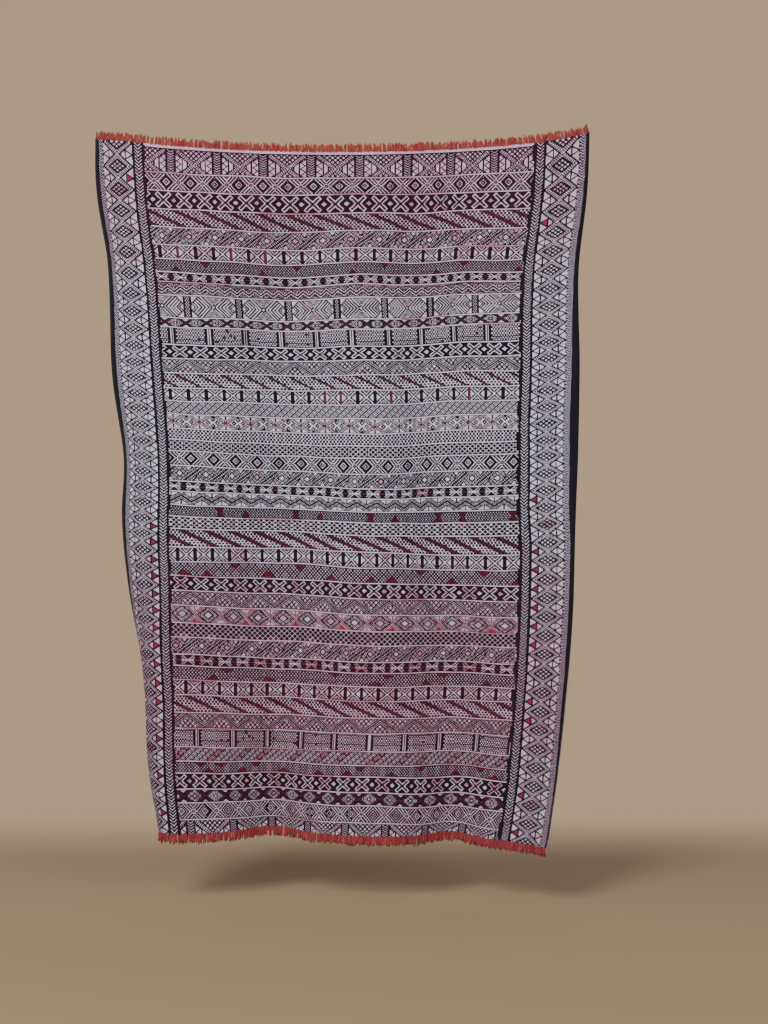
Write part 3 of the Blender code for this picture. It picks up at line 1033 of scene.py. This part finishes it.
def tuft_roots(down, outward, draw):
    """Where each tuft is rooted at one end of the cloth, and its directions along that end, off the
    cloth's face and out from the end."""
    columns = stitch_places(down)
    cloth_end = weft_row(columns, down)
    places = np.linspace(columns[0] + FROM_SELVEDGE, columns[-1] - FROM_SELVEDGE, TUFTS)
    places = places + draw.uniform(-SPACING_UNEVEN, SPACING_UNEVEN, TUFTS)
    roots = np.stack([np.interp(places, columns, cloth_end[:, k]) for k in range(3)], axis=1)
    along = np.gradient(roots, axis=0)
    along /= np.linalg.norm(along, axis=1)[:, None]
    facing = np.cross(along, [0.0, 0.0, 1.0])
    facing /= np.linalg.norm(facing, axis=1)[:, None]
    rise = np.cross(facing, along) * outward
    rise *= np.sign(rise[:, 2:3] * outward)
    return roots, along, facing, rise


def tufted_fringe(name, node, down, outward, length, uneven, lean, dyes, seed):
    """Tufts of yarn along one end of the cloth; outward is +1 at the top edge and -1 at the hem."""
    draw = np.random.default_rng(seed)
    roots, along, facing, rise = tuft_roots(down, outward, draw)
    points, faces, shades, places_on_yarn = [], [], [], []
    around = np.arange(YARN_SIDES) * 2 * math.pi / YARN_SIDES
    for tuft in range(TUFTS):
        tuft_lean = draw.normal(0, lean, 2)
        tuft_length = length + uneven * draw.uniform(-1, 1)
        tuft_shade = draw.random()
        for _ in range(YARNS_A_TUFT):
            side = draw.uniform(-1, 1, 2)
            yarn_lean = tuft_lean + draw.normal(0, lean * 0.5, 2)
            yarn_length = tuft_length * draw.uniform(0.86, 1.08)
            curl = draw.normal(0, CURL, 2)
            shade = 0.6 * tuft_shade + 0.4 * draw.random()
            start = len(points)
            for ring in range(YARN_RINGS):
                t = ring / (YARN_RINGS - 1)
                bend = yarn_lean * t**1.5 * yarn_length + curl * math.sin(math.pi * 1.5 * t)
                spine = (
                    roots[tuft]
                    + rise[tuft] * (yarn_length * t - ROOT_IN_CLOTH)
                    + along[tuft] * (side[0] * TUFT_WIDE + bend[0])
                    + facing[tuft] * (side[1] * TUFT_DEEP + bend[1])
                )
                radius = YARN_RADIUS * (1 - TIP_TAPER * t**3)
                for angle in around:
                    spoke = along[tuft] * math.cos(angle) + facing[tuft] * math.sin(angle)
                    points.append(spine + spoke * radius)
                    places_on_yarn.append((angle / (2 * math.pi), t * yarn_length / PLY_TURN))
                    shades.append(min(1.0, shade * (0.75 + 0.35 * t)))
            for low in range(start, start + (YARN_RINGS - 1) * YARN_SIDES, YARN_SIDES):
                high = low + YARN_SIDES
                for k in range(YARN_SIDES):
                    after = (k + 1) % YARN_SIDES
                    faces.append((low + k, low + after, high + after, high + k))
            last = start + (YARN_RINGS - 1) * YARN_SIDES
            faces.append(tuple(range(last, last + YARN_SIDES)))
            faces.append(tuple(range(start + YARN_SIDES - 1, start - 1, -1)))
    mesh = bpy.data.meshes.new(name)
    mesh.from_pydata([tuple(p) for p in points], [], faces)
    loops = [v for face in faces for v in face]
    yarn = mesh.uv_layers.new(name="yarn")
    yarn.data.foreach_set("uv", np.array(places_on_yarn, np.float32)[loops].ravel())
    shading = mesh.attributes.new("shade", "FLOAT", "POINT")
    shading.data.foreach_set("value", np.array(shades, np.float32))
    mesh.shade_smooth()
    fringe = add_object(name, mesh)
    fringe.data.materials.append(spun_wool(name + " wool", *dyes))
    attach(fringe, "root")
    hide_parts(node)
    return fringe


top_fringe = tufted_fringe(
    "top_fringe", "fringe_top", down=0.0, outward=+1,
    length=0.019, uneven=0.004, lean=0.10, dyes=ORANGE_REDS, seed=31,
)
hem_fringe = tufted_fringe(
    "hem_fringe", "fringe_bottom", down=1.0, outward=-1,
    length=0.023, uneven=0.003, lean=0.07, dyes=CORAL_REDS, seed=32,
)


# The floor is a plain studio floor, matt and seamless. It thins out to nothing a little way behind the
# rug, from FADE_FROM to FLOOR_BACK, and isn't part of the rug.
FLOOR_HEIGHT = -1.85
FLOOR_SIDE = 9.0
FLOOR_BACK = 1.25
FADE_FROM = 0.45
floor_mesh = bpy.data.meshes.new("studio_floor")
floor_mesh.from_pydata(
    [(x, y, FLOOR_HEIGHT) for y in (-FLOOR_SIDE, FLOOR_BACK) for x in (-FLOOR_SIDE, FLOOR_SIDE)],
    [],
    [(0, 1, 3, 2)],
)
floor = add_object("studio_floor", floor_mesh)

# matt floor paint, which gives the eye a soft contact shadow and no shine
matt_floor, floor_tree, floor_shader = new_material(
    "matt painted floor", {"Base Color": linear("#a58a64"), "Roughness": 0.95}
)
floor_place = add(floor_tree, "TexCoord")
floor_axes = add(floor_tree, "SeparateXYZ", [floor_place.outputs["Object"]])
fading = {"From Min": FADE_FROM, "From Max": FLOOR_BACK, "To Min": 1.0, "To Max": 0.0}
fade = add(
    floor_tree, "MapRange", {"Value": floor_axes.outputs["Y"], **fading}, interpolation_type="SMOOTHSTEP"
)
floor_tree.links.new(fade.outputs[0], floor_shader.inputs["Alpha"])
floor_mesh.materials.append(matt_floor)


# Soft studio light: a large lamp in front, high on the left, a weaker one on the right, and a pale room
# whose light on the rug is a little cool, though the room itself is seen as warm beige.
def soft_lamp(name, place, target, size, power):
    data = bpy.data.lights.new(name, "AREA")
    data.shape = "DISK"
    data.size = size
    data.energy = power
    lamp = add_object(name, data)
    lamp.location = place
    lamp.rotation_euler = (Vector(target) - Vector(place)).to_track_quat("-Z", "Y").to_euler()


soft_lamp("key_light", place=(-1.9, -3.7, 1.7), target=(0.0, 0.0, -0.6), size=2.0, power=190)
soft_lamp("fill_light", place=(2.8, -3.6, 0.4), target=(0.0, 0.0, -0.7), size=2.4, power=60)

room = bpy.data.worlds.new("pale room")
bpy.context.scene.world = room
room.use_nodes = True
room_light = room.node_tree.nodes["Background"]
room_light.inputs["Color"].default_value = linear("#cbccda")
room_light.inputs["Strength"].default_value = 0.62
room_seen = add(room.node_tree, "Background", {"Color": linear("#cbb08c"), "Strength": 0.86})
seen = add(room.node_tree, "LightPath")
either = add(room.node_tree, "MixShader", [seen.outputs["Is Camera Ray"], room_light, room_seen])
room.node_tree.links.new(either.outputs[0], room.node_tree.nodes["World Output"].inputs["Surface"])


# The camera stands a metre above the floor, level, a little to the right of the rug's middle.
camera_data = bpy.data.cameras.new("camera")
camera_data.lens = 55.97
camera_data.sensor_width = 36.0
camera = add_object("camera", camera_data)
camera.location = (0.113, -3.9, -0.882)
camera.rotation_euler = (math.pi / 2, 0.0, 0.0)
bpy.context.scene.camera = camera
